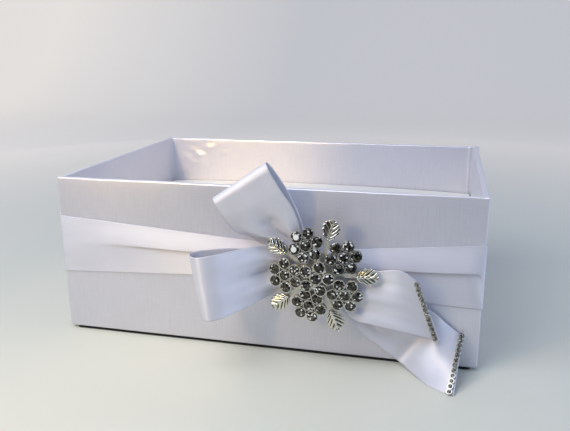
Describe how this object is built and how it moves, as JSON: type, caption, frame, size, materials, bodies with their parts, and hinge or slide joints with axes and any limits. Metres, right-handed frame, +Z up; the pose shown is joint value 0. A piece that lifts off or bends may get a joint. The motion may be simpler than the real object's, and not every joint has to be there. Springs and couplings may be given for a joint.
{
  "type": "wedding card box",
  "caption": "Open rectangular card box covered in white fabric, with a loose floor panel, a satin sash, an off-centre bow with chain-trimmed tails and a rhinestone flower brooch.",
  "frame": {"origin": "on the table, under the middle of the box, in the plane of the felt's underside", "axes": "+X right along the front as one faces the bow, +Y from the front to the back, +Z up"},
  "size_m": [0.266, 0.2183, 0.1228],
  "materials": {
    "cover_fabric": "satin",
    "satin_ribbon": "satin",
    "greyboard": "matte",
    "white_card": "matte",
    "black_felt": "matte",
    "silver_plate": "polished",
    "smoky_stone": "polished",
    "clear_glue": "satin"
  },
  "bodies": {
    "box": {"base_felt": "black_felt", "base_board": "greyboard", "front_board": "greyboard", "back_board": "greyboard", "left_board": "greyboard", "right_board": "greyboard", "fabric_cover": "cover_fabric", "ledge_front": "white_card", "ledge_back": "white_card", "ledge_left": "white_card", "ledge_right": "white_card", "sash_band": "satin_ribbon", "bow_knot": "satin_ribbon", "bow_upper_loop": "satin_ribbon", "bow_left_loop": "satin_ribbon", "bow_upper_tail": "satin_ribbon", "bow_lower_tail": "satin_ribbon", "upper_chain_cups": "silver_plate", "upper_chain_stones": "smoky_stone", "lower_chain_cups": "silver_plate", "lower_chain_stones": "smoky_stone", "brooch_glue": "clear_glue", "brooch_frame": "silver_plate", "leaf_1": "silver_plate", "leaf_2": "silver_plate", "leaf_3": "silver_plate", "leaf_4": "silver_plate", "leaf_5": "silver_plate", "floret_1_setting": "silver_plate", "floret_2_setting": "silver_plate", "floret_3_setting": "silver_plate", "floret_4_setting": "silver_plate", "floret_5_setting": "silver_plate", "floret_1_stones": "smoky_stone", "floret_2_stones": "smoky_stone", "floret_3_stones": "smoky_stone", "floret_4_stones": "smoky_stone", "floret_5_stones": "smoky_stone", "middle_setting": "silver_plate", "middle_stones": "smoky_stone"},
    "panel": {"floor_panel": "white_card"}
  },
  "joints": [
    {"name": "floor_panel_lift", "type": "slide", "parent": "box", "child": "panel", "axis": [0, 0, 1], "range_m": [0, 0.08]}
  ]
}
